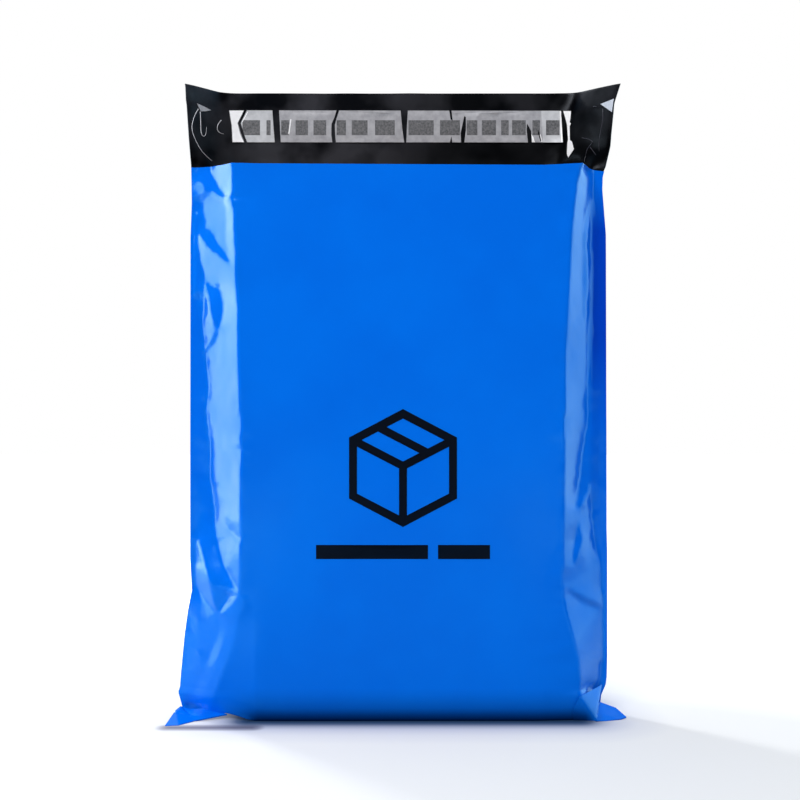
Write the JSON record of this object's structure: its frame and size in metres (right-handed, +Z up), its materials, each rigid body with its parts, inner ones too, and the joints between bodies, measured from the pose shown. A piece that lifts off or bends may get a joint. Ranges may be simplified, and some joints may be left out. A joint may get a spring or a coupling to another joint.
{
  "type": "poly mailer bag",
  "caption": "Filled courier bag standing upright, boxy front, crumpled welded sides, open mouth and a raised closing flap with its release liner on.",
  "frame": {"origin": "middle of the object's box in plan, on the floor it stands on", "axes": "+X across the front to its right, +Y from the front panel to the back panel, +Z up the bag to the flap"},
  "size_m": [0.2682, 0.0674, 0.3785],
  "materials": {
    "mailer_film": "glossy co-extruded film, blue outside and black inside",
    "adhesive": "clear tacky strip, seen only at its rim",
    "liner": "satin grey release film",
    "carton": "plain brown board"
  },
  "bodies": {
    "root": {"mailer_bag": "mailer_film", "adhesive_strip": "adhesive", "release_liner": "liner", "packed_carton": "carton"}
  },
  "joints": []
}
